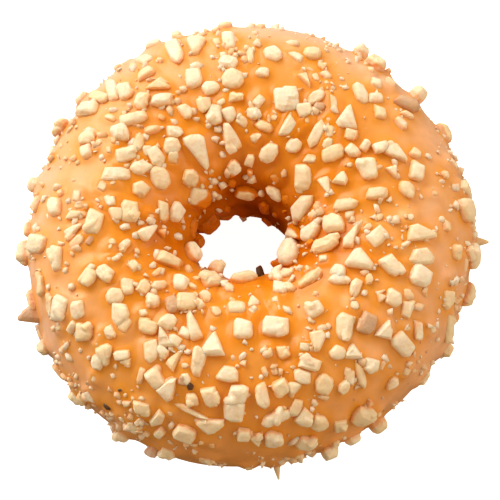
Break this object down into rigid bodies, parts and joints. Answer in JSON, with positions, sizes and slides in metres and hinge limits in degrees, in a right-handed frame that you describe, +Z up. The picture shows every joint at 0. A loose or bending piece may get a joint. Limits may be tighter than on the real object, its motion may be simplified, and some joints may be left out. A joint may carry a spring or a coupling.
{
  "type": "caramel-glazed ring doughnut with chopped nuts",
  "caption": "Ring doughnut with a caramel glaze over its top and sides, strewn with chopped nuts that stand out of the glaze.",
  "frame": {"origin": "centre of the overall outline seen from above, on the flat underside the doughnut rests on", "axes": "+Z up out of the top of the ring; +X to the right and +Y away when the ring is seen from its front; the hole runs along Z"},
  "size_m": [0.0922, 0.0912, 0.0316],
  "materials": {
    "fried_dough": "dry golden-brown fried crust, matte",
    "caramel_glaze": "set caramel glaze, satin gloss, slightly see-through",
    "chopped_nut": "cut nut flesh, cream to light tan, soft sheen"
  },
  "bodies": {
    "root": {"dough_ring": "fried_dough", "caramel_glaze": "caramel_glaze", "chopped_nut_01": "chopped_nut", "chopped_nut_02": "chopped_nut", "chopped_nut_03": "chopped_nut", "chopped_nut_04": "chopped_nut", "chopped_nut_05": "chopped_nut", "chopped_nut_06": "chopped_nut", "chopped_nut_07": "chopped_nut", "chopped_nut_08": "chopped_nut", "chopped_nut_09": "chopped_nut", "chopped_nut_10": "chopped_nut", "chopped_nut_11": "chopped_nut", "chopped_nut_12": "chopped_nut", "chopped_nut_13": "chopped_nut", "chopped_nut_14": "chopped_nut", "chopped_nut_15": "chopped_nut", "chopped_nut_16": "chopped_nut", "chopped_nut_17": "chopped_nut", "chopped_nut_18": "chopped_nut", "chopped_nut_19": "chopped_nut", "chopped_nut_20": "chopped_nut", "chopped_nut_21": "chopped_nut", "chopped_nut_22": "chopped_nut", "chopped_nut_23": "chopped_nut", "chopped_nut_24": "chopped_nut", "chopped_nut_25": "chopped_nut", "chopped_nut_26": "chopped_nut", "chopped_nut_27": "chopped_nut", "chopped_nut_28": "chopped_nut", "chopped_nut_29": "chopped_nut", "chopped_nut_30": "chopped_nut", "chopped_nut_31": "chopped_nut", "chopped_nut_32": "chopped_nut", "chopped_nut_33": "chopped_nut", "chopped_nut_34": "chopped_nut", "chopped_nut_35": "chopped_nut", "chopped_nut_36": "chopped_nut", "chopped_nut_37": "chopped_nut", "chopped_nut_38": "chopped_nut", "chopped_nut_39": "chopped_nut", "chopped_nut_40": "chopped_nut", "chopped_nut_41": "chopped_nut", "chopped_nut_42": "chopped_nut", "chopped_nut_43": "chopped_nut", "chopped_nut_44": "chopped_nut", "chopped_nut_45": "chopped_nut", "chopped_nut_46": "chopped_nut", "chopped_nut_47": "chopped_nut", "chopped_nut_48": "chopped_nut", "chopped_nut_49": "chopped_nut", "chopped_nut_50": "chopped_nut", "chopped_nut_51": "chopped_nut", "chopped_nut_52": "chopped_nut", "chopped_nut_53": "chopped_nut", "chopped_nut_54": "chopped_nut", "chopped_nut_55": "chopped_nut", "chopped_nut_56": "chopped_nut", "chopped_nut_57": "chopped_nut", "chopped_nut_58": "chopped_nut"}
  },
  "joints": []
}
